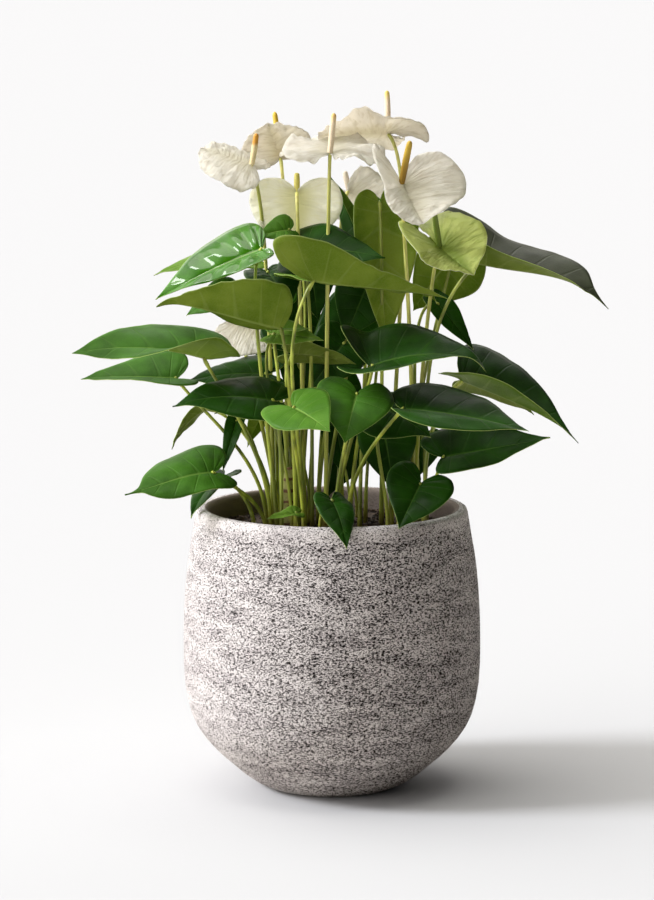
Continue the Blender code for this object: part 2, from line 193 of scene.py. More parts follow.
# painted shade: a mask of the inner wall of the mouth, below the lip, which is darkened and has its pits
# thinned
painted_mouth_shade = node("Math", [node("MapRange", [out, 127.5 * MM, 128.5 * MM, 1.0, 0.0], **SMOOTH),
                       node("MapRange", [height, 200.0 * MM, 210.0 * MM], **SMOOTH)], operation="MULTIPLY")
holes = node("Math", [node("Math", [deep, small], operation="MAXIMUM"),
                      node("Math", [painted_mouth_shade, -0.8, 1.0], operation="MULTIPLY_ADD")], operation="MULTIPLY")
bed = node("MapRange", [bands, 0.35, 0.65], **SMOOTH)
grain = node("MapRange", [fine, 0.35, 0.7, 0.0, 0.35], **SMOOTH)
tone = node("Mix", {0: bed, 6: "#e9e5e8", 7: "#dbd6da"}, **COLOUR)
tone = node("Mix", {0: grain, 6: tone, 7: "#a69d9f"}, **COLOUR)
# painted shade: the inner wall of the mouth is darkened
tone = node("Mix", {0: painted_mouth_shade, 6: tone, 7: "#8c807c"}, **COLOUR)
tone = node("Mix", {0: holes, 6: tone, 7: "#1e1819"}, **COLOUR)
rise = node("Math", [grit, node("Math", [holes, 2.4], operation="MULTIPLY")], operation="SUBTRACT")
node("OutputMaterial", {"Surface": node("BsdfPrincipled", {
    "Base Color": tone, "Roughness": 0.92, "Specular IOR Level": 0.25,
    "Normal": node("Bump", {"Height": rise, "Distance": 0.6 * MM, "Strength": 1.0})})})
put("stone_pot", bm, [stone], "pot", slot="pot_stone")


# ---------------------------------------------------------------- growing medium
# Damp bark and peat: a lumpy dark surface with loose angular chips lying on it. The mound fills the pot
# down to its floor, and the chips are flat-shaded so that their broken edges show.

SOIL_TOP = 262.0
SOIL_RADIUS = 126.0
SOIL_FLOOR = 16.5
SOIL_TAPER = 0.45   # its share of that radius at the pot's floor
SOIL_RINGS = 34
SOIL_TURNS = 120
SOIL_LUMPS = 1.6
CHIPS = 900
CHIP_REACH = 123.0  # how far out a chip may lie, and how far any of it may reach
CHIP_LIMIT = 124.0

rng = random.Random(5)
bm = bmesh.new()
rings = []
for i in range(SOIL_RINGS):
    radius = SOIL_RADIUS * i / (SOIL_RINGS - 1)
    ring = []
    for k in range(1 if i == 0 else SOIL_TURNS):
        angle = math.tau * k / SOIL_TURNS
        place = Vector((radius * math.cos(angle), radius * math.sin(angle), 0.0))
        lump = SOIL_LUMPS * noise.fractal(place * 0.09, 1.0, 2.0, 3)
        ring.append(bm.verts.new((place + Vector((0.0, 0.0, SOIL_TOP - 1.2 + lump))) * MM))
    rings.append(ring)
floor = [bm.verts.new((v.co.x * SOIL_TAPER, v.co.y * SOIL_TAPER, SOIL_FLOOR * MM)) for v in rings[-1]]
rings.append(floor)
for low, high in zip(rings, rings[1:]):
    for k in range(SOIL_TURNS):
        n = (k + 1) % SOIL_TURNS
        bm.faces.new((low[0], high[k], high[n]) if len(low) == 1 else (low[k], high[k], high[n], low[n]))
bm.faces.new(list(reversed(floor)))
for _ in range(CHIPS):
    radius = CHIP_REACH * math.sqrt(rng.random())
    angle = rng.random() * math.tau
    size = Vector((rng.uniform(2.0, 6.5), rng.uniform(1.6, 4.0), rng.uniform(1.0, 2.4)))
    if radius + size.x > CHIP_LIMIT:
        continue
    chip = bmesh.ops.create_cube(bm, size=1.0)["verts"]
    turn = rng.random() * math.tau
    tip = rng.uniform(-0.5, 0.5)
    lie = SOIL_TOP + rng.uniform(-0.6, 1.6)
    centre = Vector((radius * math.cos(angle), radius * math.sin(angle), lie))
    for v in chip:
        x, y, z = (v.co[k] * size[k] * rng.uniform(0.55, 1.1) for k in range(3))
        v.co = (centre + Vector((x * math.cos(turn) - y * math.sin(turn),
                                 x * math.sin(turn) + y * math.cos(turn), z + x * tip))) * MM

# dull and nearly black where it is damp, browner where it has dried, with a dusting of pale crumbs
bark, node = skin("bark_potting_mix")
place = node("TexCoord", out="Object")
lumps = node("TexNoise", {"Vector": place, "Scale": every(6.25), "Detail": 4.0, "Roughness": 0.6})
crumbs = node("TexNoise", {"Vector": place, "Scale": every(2.38), "Detail": 2.0})
fibre = node("TexNoise", {"Vector": place, "Scale": every(1.429), "Detail": 3.0, "Roughness": 0.65})
dry = node("MapRange", [lumps, 0.35, 0.68], **SMOOTH)
dust = node("MapRange", [crumbs, 0.6, 0.72, 0.0, 0.8], **SMOOTH)
tone = node("Mix", {0: dry, 6: "#1d1512", 7: "#4a382c"}, **COLOUR)
tone = node("Mix", {0: dust, 6: tone, 7: "#7a6350"}, **COLOUR)
node("OutputMaterial", {"Surface": node("BsdfPrincipled", {
    "Base Color": tone, "Roughness": 0.9,
    "Normal": node("Bump", {"Height": fibre, "Distance": 0.6 * MM, "Strength": 1.0})})})
piece = put("bark_mix", bm, [bark], "growing_medium", slot="growing_medium")
for polygon in piece.data.polygons:
    polygon.use_smooth = False


# ---------------------------------------------------------------- leaves
# Each blade is a heart-shaped waxy sheet, quilted between its side veins, with a paler, duller underside
# whose veins stand out. Blade and stalk grew as one piece; a stalk swells at its foot and at its knee.

# outlines: (along the midrib, out from it, where its vein leaves the midrib), in shares of length and width
LEAF_OUTLINE = [(-0.06, 0.045, 0.0), (-0.165, 0.23, 0.0), (-0.235, 0.53, 0.0), (-0.16, 0.83, 0.0),
                (0.06, 1.0, 0.07), (0.30, 0.92, 0.17), (0.55, 0.64, 0.40), (0.78, 0.30, 0.66),
                (0.92, 0.09, 0.86), (1.0, 0.0, 1.0)]
SLIM_OUTLINE = [(-0.06, 0.045, 0.0), (-0.165, 0.25, 0.0), (-0.235, 0.60, 0.0), (-0.15, 0.90, 0.0),
                (0.05, 1.0, 0.07), (0.26, 0.84, 0.17), (0.50, 0.50, 0.40), (0.74, 0.19, 0.66),
                (0.90, 0.05, 0.86), (1.0, 0.0, 1.0)]
ROUND_OUTLINE = [(-0.02, 0.04, 0.0), (-0.17, 0.12, 0.0), (-0.27, 0.42, 0.0), (-0.20, 0.76, 0.0),
                 (0.02, 0.98, 0.07), (0.30, 0.94, 0.17), (0.56, 0.66, 0.40), (0.80, 0.30, 0.66),
                 (0.94, 0.08, 0.86), (1.0, 0.0, 1.0)]
OVAL_OUTLINE = [(-0.02, 0.05, 0.0), (-0.05, 0.36, 0.0), (-0.01, 0.68, 0.02), (0.10, 0.90, 0.06),
                (0.30, 1.0, 0.16), (0.52, 0.86, 0.36), (0.73, 0.50, 0.60), (0.89, 0.16, 0.82),
                (0.97, 0.03, 0.94), (1.0, 0.0, 1.0)]
TAIL_OUTLINE = [(-0.06, 0.045, 0.0), (-0.165, 0.25, 0.0), (-0.235, 0.60, 0.0), (-0.15, 0.90, 0.0),
                (0.05, 1.0, 0.06), (0.30, 0.97, 0.16), (0.52, 0.84, 0.36), (0.72, 0.48, 0.58),
                (0.84, 0.11, 0.80), (1.0, 0.0, 1.0)]
VEINS = 9
BLADE_THICKNESS = 0.55
BLADE_ROWS = 54
BLADE_COLUMNS = 9
STALK_RINGS = 34
STALK_GAP = 0.3
STALK_OVERLAP = 2.2  # how far a stalk runs into its own blade
KNEE = 1.25          # how stout a stalk is where it meets its blade


def bezier(points, u):
    v = 1.0 - u
    return (points[0] * (v * v * v) + points[1] * (3 * v * v * u) + points[2] * (3 * v * u * u)
            + points[3] * (u * u * u))


def bezier_slope(points, u):
    v = 1.0 - u
    return ((points[1] - points[0]) * (3 * v * v) + (points[2] - points[1]) * (6 * v * u)
            + (points[3] - points[2]) * (3 * u * u))


def along_outline(outline, t):
    """Catmull-Rom through the outline's points."""
    last = len(outline) - 1
    place = min(max(t, 0.0), 1.0) * last
    i = min(int(place), last - 1)
    u = place - i
    rows = (outline[max(i - 1, 0)], outline[i], outline[i + 1], outline[min(i + 2, last)])
    return [0.5 * (2 * b + (c - a) * u + (2 * a - 5 * b + 4 * c - d) * u ** 2
                   + (3 * b - a - 3 * c + d) * u ** 3) for a, b, c, d in zip(*rows)]


class Blade:
    """A blade in mm and degrees, from its base at the stalk to its tip. Width and what follows it may
    differ between the two sides: the first of a pair lies along face x chord. wave is (height, waves,
    start); back stretches the lobes, lobe and flare lift them."""

    def __init__(self, base, tip, face, width, arch=(4, 4), fold=12, fold_tip=None, curl=20, lobe=0,
                 back=1.0, wave=(2.0, 2.3, 0.0), quilt=0.25, crumple=0.7, seed=0, hook=0.0, flare=0,
                 outline=LEAF_OUTLINE):
        self.base = Vector(base)
        self.tip = Vector(tip)
        chord = self.tip - self.base
        self.length = chord.length
        self.forward = chord.normalized()
        face = Vector(face)
        self.normal = (face - self.forward * face.dot(self.forward)).normalized()
        self.width, self.fold, self.curl, self.lobe, self.back, self.flare = (
            value if isinstance(value, tuple) else (value, value)
            for value in (width, fold, curl, lobe, back, flare))
        self.fold_tip = fold_tip or tuple(0.4 * angle for angle in self.fold)
        self.wave = wave
        self.quilt = quilt
        self.crumple = crumple
        self.seed = seed
        self.hook = hook
        self.outline = outline
        self.midrib = [self.base,
                       self.base + self.forward * (self.length / 3) + self.normal * arch[0],
                       self.base + self.forward * (self.length * 2 / 3) + self.normal * arch[1],
                       self.tip]

    def point(self, t, across):
        """t runs along the margin from notch to tip, across from -1 to 1 over the midrib."""
        k = 0 if across >= 0 else 1
        sign = 1.0 if across >= 0 else -1.0
        share = abs(across)
        out_x, out_y, root = along_outline(self.outline, t)
        if out_x < 0:
            out_x *= self.back[k]
        root = max(root, 0.0)
        x = root + (out_x - root) * share
        reach = out_y * share
        u = min(max(x, 0.0), 1.0)
        centre = bezier(self.midrib, u)
        forward = bezier_slope(self.midrib, u).normalized()
        if x < 0:
            centre = centre + forward * (x * self.length)
        side = self.normal.cross(forward).normalized()
        normal = forward.cross(side)
        fold = math.radians(self.fold[k] + (self.fold_tip[k] - self.fold[k]) * u)
        curl = math.radians(self.curl[k])
        width = self.width[k]
        sideways = width / curl * (math.sin(fold) - math.sin(fold - curl * reach))
        rise = width / curl * (math.cos(fold - curl * reach) - math.cos(fold))
        if x < 0:
            rise += self.lobe[k] * (x / 0.24) ** 2
        # ruffles along the margin, out of step between the sides
        size, count, start = self.wave
        start += 0.0 if k == 0 else 1.9
        rise += size * out_y * share * share * math.sin(math.tau * count * t + start)
        # quilting between the side veins, and the sunken midrib, which shallows towards the tip
        middle = 4.0 * share * (1.0 - share)
        rise -= self.quilt * math.cos(math.tau * VEINS * t) * middle * min(1.0, out_y * 1.6)
        rise -= 0.7 * math.exp(-(share * width * max(out_y, 0.05) / 1.8) ** 2) * (1.0 - 0.7 * u)
        # a slow unevenness, different for every leaf, with finer crumples towards the margin
        place = Vector((x * 2.6 + self.seed * 7.3, across * out_y * 1.8, self.seed * 3.1))
        rise += 0.03 * self.length * noise.noise(place) * share
        rise += self.crumple * noise.noise(place * 3.1) * share ** 1.5
        # a lifted shoulder and a hooked tip
        rise += self.flare[k] * share * share * math.exp(-((t - 0.25) / 0.17) ** 2)
        rise += self.hook * max(0.0, u - 0.8) ** 2 * 25.0
        return centre + side * (sign * sideways) + normal * rise


def sheet(bm, blade, thickness, rows, columns):
    """Adds a blade: top in slot 0, underside in slot 1, margin in slot 2. U follows the margin, V
    crosses it, and the columns stand closer by the midrib."""
    shares = [(j / columns) ** 1.25 for j in range(columns + 1)]
    steps = [-s for s in reversed(shares[1:])] + shares
    uv = bm.loops.layers.uv.verify()
    grid = []
    for i in range(rows + 1):
        t = i / rows
        grid.append([bm.verts.new(blade.point(t, across) * MM) for across in steps])
    spots = {}
    for i, row in enumerate(grid):
        for across, vertex in zip(steps, row):
            spots[vertex] = (i / rows, 0.5 + 0.5 * across)
    faces = []
    for i in range(rows):
        for j in range(len(steps) - 1):
            face = bm.faces.new((grid[i][j], grid[i][j + 1], grid[i + 1][j + 1], grid[i + 1][j]))
            for loop in face.loops:
                loop[uv].uv = spots[loop.vert]
            faces.append(face)
    everything = [v for row in grid for v in row]
    bmesh.ops.remove_doubles(bm, verts=everything, dist=0.03 * MM)
    faces = [f for f in faces if f.is_valid]
    middle = faces[len(faces) // 2]
    bmesh.ops.recalc_face_normals(bm, faces=faces)
    if middle.normal.dot(blade.normal) < 0:
        bmesh.ops.reverse_faces(bm, faces=faces)
    bm.normal_update()
    tops = list(dict.fromkeys(v for f in faces for v in f.verts))
    edge = [(loop.vert, loop.link_loop_next.vert) for f in faces for loop in f.loops
            if len(loop.edge.link_faces) == 1]
    half = {v: v.normal.copy() * (thickness * MM * 0.5) for v in tops}
    under = {v: bm.verts.new(v.co - half[v]) for v in tops}
    for v in tops:
        v.co += half[v]
    for f in faces:
        f.material_index = 0
        below = bm.faces.new([under[v] for v in reversed(f.verts)])
        below.material_index = 1
        corners = {under[loop.vert]: loop[uv].uv.copy() for loop in f.loops}
        for loop in below.loops:
            loop[uv].uv = corners[loop.vert]
    for a, b in edge:
        rim = bm.faces.new((b, a, under[a], under[b]))
        rim.material_index = 2


def stalk_points(blade, foot, end, rise=0.4, lean=(0, 0), reach=0.3, knee=(0.8, 0.45)):
    """From the growing medium to the blade, in rings that stand closer towards the knee; end is how far
    past the blade's base the stalk stops."""
    start = Vector((foot[0], foot[1], SOIL_TOP + STALK_GAP))
    arrival = (blade.normal * knee[0] + blade.forward * knee[1]).normalized()
    span = (blade.base - start).length
    points = [start,
              start + Vector((lean[0], lean[1], span * rise)),
              blade.base - arrival * (span * reach),
              blade.base]
    line = [bezier(points, 1.0 - (1.0 - i / (STALK_RINGS - 1)) ** 1.25) for i in range(STALK_RINGS)]
    line[-1] = line[-1] + (line[-1] - line[-2]).normalized() * end
    return line


def stalk_radii(radius, knee):
    """Swollen at the foot, slender along the stalk, thicker again at the knee below the blade."""
    radii = []
    for i in range(STALK_RINGS):
        u = i / (STALK_RINGS - 1)
        swell = 1.0 - 0.3 * u + 0.35 * math.exp(-(u / 0.05) ** 2)
        swell += (knee - 0.7) * 0.6 * math.exp(-((u - 0.93) / 0.05) ** 2)
        radii.append(radius * swell)
    radii[-1] *= 0.75
    return radii


def tube(bm, points, radii, sides=12, slot=0, wobble=None):
    """A closed round tube through the points; wobble(row, angle) scales its radius."""
    rings = []
    across = None
    for i, point in enumerate(points):
        ahead = (points[min(i + 1, len(points) - 1)] - points[max(i - 1, 0)]).normalized()
        if across is None:
            across = ahead.orthogonal().normalized()
        across = (across - ahead * across.dot(ahead)).normalized()
        other = ahead.cross(across)
        ring = []
        for k in range(sides):
            angle = math.tau * k / sides
            radius = radii[i] * (wobble(i, angle) if wobble else 1.0)
            out = across * math.cos(angle) + other * math.sin(angle)
            ring.append(bm.verts.new((point + out * radius) * MM))
        rings.append(ring)
    for low, high in zip(rings, rings[1:]):
        for k in range(sides):
            n = (k + 1) % sides
            bm.faces.new((low[k], low[n], high[n], high[k])).material_index = slot
    bm.faces.new(list(reversed(rings[0]))).material_index = slot
    bm.faces.new(rings[-1]).material_index = slot


def marks(node, spread):
    """From a blade's UV: the place along its margin, the share of the way from midrib to margin, and
    the distance to the nearest side vein."""
    uv = node("UVMap")
    along = node("SeparateXYZ", [uv], "X")
    crossing = node("SeparateXYZ", [uv], "Y")
    share = node("Math", [crossing, 2.0, -1.0], operation="MULTIPLY_ADD")
    share = node("Math", [share], operation="ABSOLUTE")
    near = node("Math", [along, VEINS], operation="MULTIPLY")
    near = node("Math", [near, 0.5], operation="PINGPONG")
    spread = node("Math", [share, spread], operation="ADD")
    return along, crossing, share, node("Math", [near, spread], operation="MULTIPLY")


def light_through(node, shader, tone, share):
    """Ends a thin skin that lets a share of the light through."""
    through = node("BsdfTranslucent", {"Color": tone})
    node("OutputMaterial", {"Surface": node("MixShader", [share, shader, through])})


def leaf_skin(name, deep, pale, vein, gloss, raised=False, thin=0.0, coat=0.0, shine=0.12):
    """Leaf tissue: mottled green with paler side veins, midrib and margin and a mesh of veinlets 3 mm
    apart. The wax gives a soft gloss, broken up a little by the surface."""
    made, node = skin(name)
    _, _, share, near = marks(node, 0.22)
    side = node("MapRange", [near, 0.012, 0.045, 1.0, 0.0], **SMOOTH)
    fade = node("MapRange", [share, 0.80, 0.97, 1.0, 0.0], **SMOOTH)
    side = node("Math", [side, fade], operation="MULTIPLY")
    rib = node("MapRange", [share, 0.018, 0.05, 1.0, 0.0], **SMOOTH)
    margin = node("MapRange", [share, 0.968, 0.99], **SMOOTH)
    place = node("TexCoord", out="Object")
    mesh = node("TexVoronoi", {"Vector": place, "Scale": every(3.03)}, feature="DISTANCE_TO_EDGE")
    lace = node("MapRange", [mesh, 0.02, 0.10, 1.0, 0.0], **SMOOTH)
    mottle = node("TexNoise", {"Vector": place, "Scale": every(42), "Detail": 3.0, "Roughness": 0.55})
    mottle = node("MapRange", [mottle, 0.32, 0.68], **SMOOTH)
    tone = node("Mix", {0: mottle, 6: deep, 7: pale}, **COLOUR)
    for line, strength in ((lace, 0.10 if raised else 0.04), (side, 0.2 if raised else 0.07), (rib, 0.55),
                           (margin, 0.6)):
        line = node("Math", [line, strength], operation="MULTIPLY")
        tone = node("Mix", {0: line, 6: tone, 7: vein}, **COLOUR)
    wax = node("TexNoise", {"Vector": place, "Scale": every(16.7), "Detail": 3.0})
    wax = node("MapRange", [wax, 0.3, 0.7, gloss, gloss + 0.10], **SMOOTH)
    sink = 0.5 if raised else -0.6
    height = node("Math", [rib, 1.2], operation="MULTIPLY")
    height = node("Math", [side, height], operation="MAXIMUM")
    fine = node("Math", [lace, 0.12 * sink], operation="MULTIPLY")
    height = node("Math", [height, sink, fine], operation="MULTIPLY_ADD")
    pucker = node("TexNoise", {"Vector": place, "Scale": every(7.14), "Detail": 3.0})
    height = node("Math", [pucker, 0.35, height], operation="MULTIPLY_ADD")
    shader = node("BsdfPrincipled", {
        "Base Color": tone, "Roughness": wax, "Specular IOR Level": shine, "Coat Weight": coat,
        "Coat Roughness": 0.04, "Coat IOR": 1.7,
        "Normal": node("Bump", {"Height": height, "Distance": 0.45 * MM, "Strength": 1.0})})
    if thin:
        light_through(node, shader, tone, thin)
    else:
        node("OutputMaterial", {"Surface": shader})
    return made


def stem_skin(name, low, high, foot, shaded="#56681c"):
    """Stalk tissue: smooth and waxy, faintly streaked along its length, and browner where it leaves the
    crown.
    Long random patches of some stalks are painted a darker green, as painted shade."""
    made, node = skin(name)
    place = node("TexCoord", out="Object")
    height = node("SeparateXYZ", [place], "Z")
    tone = node("MapRange", [height, 330.0 * MM, 600.0 * MM], **SMOOTH)
    tone = node("Mix", {0: tone, 6: low, 7: high}, **COLOUR)
    # painted shade: long random patches are darkened towards the shaded green
    each = node("Mapping", {"Vector": place, "Scale": (1.0, 1.0, 0.12)})
    each = node("TexNoise", {"Vector": each, "Scale": every(11.8), "Detail": 1.0})
    each = node("MapRange", [each, 0.40, 0.60, 0.0, 0.8], **SMOOTH)
    tone = node("Mix", {0: each, 6: tone, 7: shaded}, **COLOUR)
    long = node("Mapping", {"Vector": place, "Scale": (1.0, 1.0, 0.06)})
    streaks = node("TexNoise", {"Vector": long, "Scale": every(2.0), "Detail": 2.0})
    streak = node("MapRange", [streaks, 0.45, 0.75, 0.0, 0.35], **SMOOTH)
    tone = node("Mix", {0: streak, 6: tone, 7: foot}, **COLOUR)
    brown = node("TexNoise", {"Vector": place, "Scale": every(14.3), "Detail": 3.0})
    brown = node("Math", [brown, 30.0 * MM, height], operation="MULTIPLY_ADD")
    brown = node("MapRange", [brown, 275.0 * MM, 305.0 * MM, 0.75, 0.0], **SMOOTH)
    tone = node("Mix", {0: brown, 6: tone, 7: foot}, **COLOUR)
    node("OutputMaterial", {"Surface": node("BsdfPrincipled", {
        "Base Color": tone, "Roughness": 0.38, "Subsurface Weight": 0.2,
        "Subsurface Radius": (0.8, 1.0, 0.3), "Subsurface Scale": 2.0 * MM,
        "Normal": node("Bump", {"Height": streaks, "Distance": 0.2 * MM, "Strength": 0.6})})})
    return made


# Top and underside of a leaf in six tones: old and dark, grown, waxy, new, dull and young. Only the dull
# and the young ones are thin enough to let light through.
SKINS = {
    "deep": (leaf_skin("leaf_top_old", "#122e06", "#1f460c", "#4a6c2c", 0.32, shine=0.09),
             leaf_skin("leaf_underside_old", "#4c6a20", "#617f2c", "#8aa155", 0.50, raised=True)),
    "mid": (leaf_skin("leaf_top_grown", "#2c5210", "#3e6e1a", "#729644", 0.44),
            leaf_skin("leaf_underside_grown", "#5f7a24", "#749034", "#9cb060", 0.48, raised=True)),
    "glossy": (leaf_skin("leaf_top_waxy", "#265e02", "#3c7a08", "#7ca846", 0.28, coat=0.7),
               leaf_skin("leaf_underside_waxy", "#4a7a10", "#5a8a1c", "#8fb04c", 0.40, raised=True)),
    "spring": (leaf_skin("leaf_top_new", "#3c6815", "#507d25", "#8aac54", 0.38),
               leaf_skin("leaf_underside_new", "#66883a", "#7a9a48", "#aac078", 0.50, raised=True)),
    "slate": (leaf_skin("leaf_top_dull", "#2a301e", "#3d442f", "#6a734f", 0.40, shine=0.28),
              leaf_skin("leaf_underside_dull", "#6a802c", "#849846", "#a4b06c", 0.50, raised=True,
                        thin=0.2)),
    "fresh": (leaf_skin("leaf_top_young", "#5a8220", "#72983a", "#9cb460", 0.38, thin=0.25),
              leaf_skin("leaf_underside_young", "#78942a", "#9aae46", "#b8c878", 0.48, raised=True,
                        thin=0.45))}
RIM = leaf_skin("leaf_margin", "#7d9448", "#8fa65a", "#a5b870", 0.4)
STALK = stem_skin("leaf_stalk", "#b2c04a", "#c2ce66", "#8a7a44")


def leaf(number, base, tip, face, width, foot, lean=(0, 0), reach=0.3, knee=(0.8, 0.45), tone="deep",
         solid=True, radius=2.1, **shape):
    """One leaf: blade and stalk grown together."""
    blade = Blade(base, tip, face, width, seed=number, **shape)
    bm = bmesh.new()
    sheet(bm, blade, BLADE_THICKNESS, BLADE_ROWS, BLADE_COLUMNS)
    line = stalk_points(blade, foot, STALK_OVERLAP, lean=lean, reach=reach, knee=knee)
    tube(bm, line, stalk_radii(radius, KNEE), slot=3)
    name = "leaf_%02d" % number
    put("anthurium_" + name, bm, [*SKINS[tone], RIM, STALK], *([name] if solid else []), slot="leaf")


leaf(1, (-70, -46, 546), (-172, -70, 499), (-0.15, -0.75, 0.62), (24, 42), (-54, -20), arch=(6, 6),
     fold=(32, 12), fold_tip=(24, 6), curl=(15, 40), back=(0.3, 0.5), lean=(-10, 4), reach=0.12,
     knee=(0.6, -0.5), tone="glossy", wave=(1.5, 2.5, 1.0), quilt=1.1, crumple=0.4)
leaf(2, (-88, 60, 528), (-181, 70, 510), (-0.2, -0.35, 0.9), (24, 28), (-42, 32), arch=(12, 8),
     fold=(16, 8), tone="fresh")
leaf(3, (-50, -66, 470), (-170, -95, 499), (0.10, 0.18, 0.95), (52, 30), (-36, -36), arch=(-2, 8),
     fold=(66, 15), fold_tip=(34, 10), curl=(12, 30), back=(1.0, 5.0), reach=0.1, tone="fresh", hook=-5.0,
     wave=(3.0, 1.3, 0.2), outline=OVAL_OUTLINE, lobe=(0, 6), crumple=2.0)
leaf(4, (-64, -6, 520), (-42, -52, 485), (0.15, -0.65, 0.75), (30, 26), (-42, 4), arch=(8, 6), fold=14,
     curl=30, reach=0.08)
leaf(5, (-18, -100, 520), (114, -60, 499), (0.05, 0.30, 0.95), (44, 43), (-27, -26), arch=(-2, 6),
     fold=(18, 56), fold_tip=(8, 40), curl=(20, 14), back=(1.0, 1.5), tone="fresh", wave=(5.0, 1.3, 4.2),
     outline=SLIM_OUTLINE, crumple=2.4)
leaf(6, (-32, -14, 544), (52, -40, 538), (0.08, -0.70, 0.70), (34, 36), (-20, -6), arch=(8, 4), fold=(8, 5),
     reach=0.08, knee=(0.9, -0.5))
leaf(7, (14, 50, 540), (-3, 46, 615), (0.35, -0.93, 0.1), (20, 25), (-14, 14), fold=(118, 25),
     fold_tip=(100, 10), curl=(10, 20), reach=0.15, knee=(-0.2, 1.0))
leaf(8, (47, 16, 588), (54, -6, 446), (-0.15, 0.95, 0.2), (30, 42), (50, 14), arch=(10, 6), fold=2,
     curl=(40, 50), knee=(0.8, -0.6), reach=0.08, tone="fresh", wave=(3.0, 2.0, 0.0), outline=ROUND_OUTLINE,
     back=(0.35, 0.5), crumple=1.8)
leaf(9, (121, 60, 530), (82, 50, 476), (0.1, 0.9, 0.3), (34, 42), (78, 40), arch=(8, 6), fold=10,
     curl=(40, 30), lean=(-4, 14), reach=0.05, tone="fresh", wave=(3.0, 2.5, 1.0), back=(1.0, 1.2))
leaf(10, (145, 10, 528), (275, -10, 484), (0.08, 0.05, 0.97), (54, 30), (94, 8), arch=(3, 27),
     fold=(40, 60), fold_tip=(52, -10), curl=(30, 20), back=(1.5, 0.4), tone="slate", wave=(2.5, 2.2, 2.0),
     outline=TAIL_OUTLINE, flare=(28, 0))
leaf(11, (130, 0, 411), (246, -40, 356), (0.25, 0.0, 0.95), (66, 44), (92, -14), arch=(4, 10),
     fold=(54, 15), fold_tip=(38, 60), curl=(34, 14), back=0.6, wave=(7.0, 1.3, 1.87), hook=-3.0,
     outline=SLIM_OUTLINE)
leaf(12, (134, 46, 405), (205, 40, 371), (0.2, 0.5, 0.8), 28, (94, 44), arch=(8, 8), fold=(10, 30),
     back=0.5, tone="slate")
leaf(13, (39, -90, 436), (152, -110, 443), (0.0, -0.36, 0.93), (58, 28), (4, -34), arch=(14, 14),
     fold=(28, 25), fold_tip=(4, 20), curl=30, lobe=(66, 16), back=(0.7, 1.0), reach=0.12, knee=(1.0, 0.1),
     hook=-12.0, wave=(2.5, 2.4, 0.4))
leaf(14, (68, -110, 397), (189, -130, 378), (0.05, -0.36, 0.93), (58, 36), (14, -44), arch=(4, 6),
     fold=(15, 28), curl=(30, 35), back=(2.5, 1.5), wave=(2.5, 1.3, 5.0), outline=OVAL_OUTLINE)
leaf(15, (110, -50, 341), (214, -70, 363), (-0.2, -0.55, 0.8), (42, 28), (94, -28), arch=(0, 0),
     fold=(15, 10), back=(0.9, 0.3), wave=(3.0, 1.8, 1.0))
leaf(16, (24, -96, 410), (12, -130, 366), (0.05, -0.78, 0.62), (38, 40), (2, -50), arch=(6, 4),
     fold=(24, 20), curl=40, back=1.2, reach=0.15, tone="mid")
leaf(17, (52, -40, 388), (97, -62, 362), (0.1, -0.6, 0.8), (36, 40), (56, -28), fold=5)
leaf(18, (52, -2, 360), (62, -12, 300), (0.1, -0.95, 0.2), (32, 28), (60, 8), fold=10, knee=(0.3, -0.9))
leaf(19, (86, -100, 322), (64, -138, 284), (0.1, -0.8, 0.55), (36, 33), (74, -40), fold=(38, 15),
     curl=(30, 20), back=(1.0, 1.5))
leaf(20, (0, -115, 308), (14, -150, 266), (0.25, -0.75, 0.5), 20, (-12, -60), arch=(8, 8), fold=(15, 25),
     curl=50)
leaf(21, (-127, -30, 437), (-256, -50, 444), (0.0, -0.36, 0.93), (44, 56), (-61, -14), arch=(12, 12),
     fold=(66, 24), fold_tip=(-22, 14), curl=(25, 35), tone="mid", wave=(3.0, 2.3, 1.2))
leaf(22, (-156, 10, 412), (-252, 10, 411), (0.0, -0.42, 0.9), (30, 40), (-66, 12), arch=(2, 6),
     fold=(30, 20), back=(1, 0.5), tone="mid", wave=(2.0, 2.0, 0.5), fold_tip=(24, 8))
leaf(23, (-58, -62, 399), (-155, -98, 398), (0.0, -0.55, 0.85), (36, 42), (-50, -44), arch=(10, 12), fold=8,
     curl=30, back=(1.1, 1.4), reach=0.2, wave=(3.0, 2.2, 1.2))
leaf(24, (-66, 14, 416), (-146, 16, 408), (0.0, -0.48, 0.88), (30, 34), (-53, 24), arch=(6, 6),
     fold=(5, 10), curl=25, reach=0.2, crumple=1.2)
leaf(25, (-37, -124, 400), (-2, -169, 383), (0.05, -0.72, 0.68), (34, 32), (-28, -50), arch=(3, 3),
     fold=(14, 10), curl=(20, 30), back=(1.6, 2.0), tone="spring", wave=(1.5, 2.2, 0.4))
leaf(26, (-117, -60, 327), (-203, -82, 309), (0.0, -0.66, 0.75), (24, 44), (-66, -30), arch=(10, -2),
     fold=(14, 10), fold_tip=(5, -8), curl=(30, 40), tone="mid", wave=(3.0, 2.0, 2.0), outline=TAIL_OUTLINE)
leaf(27, (-110, 0, 314), (-140, -40, 278), (-0.5, -0.5, 0.7), 22, (-78, -8), arch=(8, 8), fold=15, curl=10)
leaf(28, (-128, 50, 376), (-163, 40, 336), (-0.6, 0.5, 0.6), 12, (-60, 34), arch=(8, 8), fold=15, curl=10,
     tone="slate")
leaf(29, (0, 70, 470), (5, 130, 440), (0.0, 0.5, 0.85), 40, (-14, 44), arch=(10, 8), fold=5)

# smaller leaves between the stems and behind, with no solid of their own
inner_leaf = functools.partial(leaf, solid=False)


